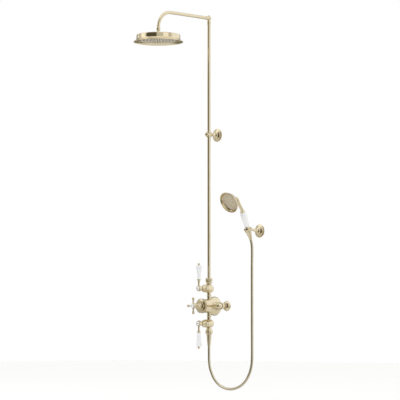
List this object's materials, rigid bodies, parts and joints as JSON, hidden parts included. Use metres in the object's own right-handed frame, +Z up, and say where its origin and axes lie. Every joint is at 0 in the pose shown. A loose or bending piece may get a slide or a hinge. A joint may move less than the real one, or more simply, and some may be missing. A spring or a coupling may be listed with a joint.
{
  "type": "exposed thermostatic shower column",
  "caption": "Wall-mounted thermostatic shower column with a rigid riser, a swivelling overhead rose on a bent arm, porcelain levers, a cross handle and a hand shower on a hose.",
  "frame": {"origin": "on the finished wall, midway between the two inlets at the height of their axes", "axes": "+Z up along the riser, +Y into the wall, +X to the right as seen by someone facing the wall"},
  "size_m": [0.446, 0.528, 1.7719],
  "materials": {
    "brass": "polished",
    "plain_brass": "satin",
    "knurled_brass": "knurled",
    "spray_brass": "satin",
    "hose_metal": "polished spiral-wound sheath",
    "porcelain": "white glaze",
    "rubber": "matte",
    "nozzle_rubber": "soft matte",
    "plastic": "moulded",
    "steel": "plated"
  },
  "bodies": {
    "root": {"inlet_wall_flanges": "brass", "inlet_tails": "brass", "inlet_union_nuts": "brass", "inlet_check_valves": "plastic", "union_washers": "rubber", "valve_body": "brass", "link_sleeves": "brass", "o_rings": "rubber", "thermostat_cartridge": "plastic", "front_ring": "knurled_brass", "temperature_dial": "brass", "upper_flow_body": "brass", "lower_flow_body": "brass", "disc_cartridges": "plastic", "control_bonnets": "brass", "riser_union_nut": "brass", "riser_olive": "plain_brass", "riser_tube": "brass", "swivel_post": "brass", "elbow_cap": "brass", "bracket_wall_plates": "plain_brass", "bracket_flanges": "brass", "bracket_wall_screws": "steel", "riser_clamp": "brass", "clamp_screw": "brass", "holder_cup": "brass", "hose_outlet_collar": "brass", "hose_valve_cone": "brass", "hose_tube": "hose_metal"},
    "temperature_control": {"thermostat_spindle": "plain_brass", "cross_handle": "brass", "cross_cap": "porcelain", "cross_screw": "steel"},
    "upper_lever": {"upper_spindle": "plain_brass", "upper_lever_arm": "brass", "upper_lever_porcelain": "porcelain", "upper_lever_finial": "brass", "upper_index_disc": "porcelain"},
    "lower_lever": {"lower_spindle": "plain_brass", "lower_lever_arm": "brass", "lower_lever_porcelain": "porcelain", "lower_lever_finial": "brass", "lower_index_disc": "porcelain"},
    "arm": {"arm_elbow": "brass", "arm_tube": "brass", "rose_union_nut": "brass", "swivel_ball": "brass"},
    "rose_seat": {"ball_seat": "plastic"},
    "rose": {"rose_socket": "brass", "rose_shell": "brass", "rose_spray_plate": "spray_brass", "rose_nozzles": "nozzle_rubber"},
    "handset": {"handset_bell": "brass", "handset_bezel": "brass", "handset_spray_plate": "spray_brass", "handset_nozzles": "nozzle_rubber", "handset_neck": "brass", "handset_ferrules": "brass", "handset_grip": "porcelain", "hose_cone_nut": "brass"}
  },
  "joints": [
    {"name": "temperature_turn", "type": "hinge", "parent": "root", "child": "temperature_control", "pos_m": [0, -0.1585, 0], "axis": [0, -1, 0], "range_deg": [-135, 135]},
    {"name": "upper_lever_turn", "type": "hinge", "parent": "root", "child": "upper_lever", "pos_m": [0, -0.1225, 0.082], "axis": [0, -1, 0], "range_deg": [-90, 0]},
    {"name": "lower_lever_turn", "type": "hinge", "parent": "root", "child": "lower_lever", "pos_m": [0, -0.1225, -0.082], "axis": [0, -1, 0], "range_deg": [0, 90]},
    {"name": "arm_swing", "type": "hinge", "parent": "root", "child": "arm", "pos_m": [0, -0.056, 1.365], "axis": [0, 0, 1], "range_deg": [-70, 70]},
    {"name": "rose_tilt_x", "type": "hinge", "parent": "arm", "child": "rose_seat", "pos_m": [0, -0.383, 1.2615], "axis": [1, 0, 0], "range_deg": [-15, 15]},
    {"name": "rose_tilt_y", "type": "hinge", "parent": "rose_seat", "child": "rose", "pos_m": [0, -0.383, 1.2615], "axis": [0, 1, 0], "range_deg": [-15, 15]},
    {"name": "handset_lift", "type": "slide", "parent": "root", "child": "handset", "axis": [0, -0.3907, 0.9205], "range_m": [0, 0.07]}
  ]
}
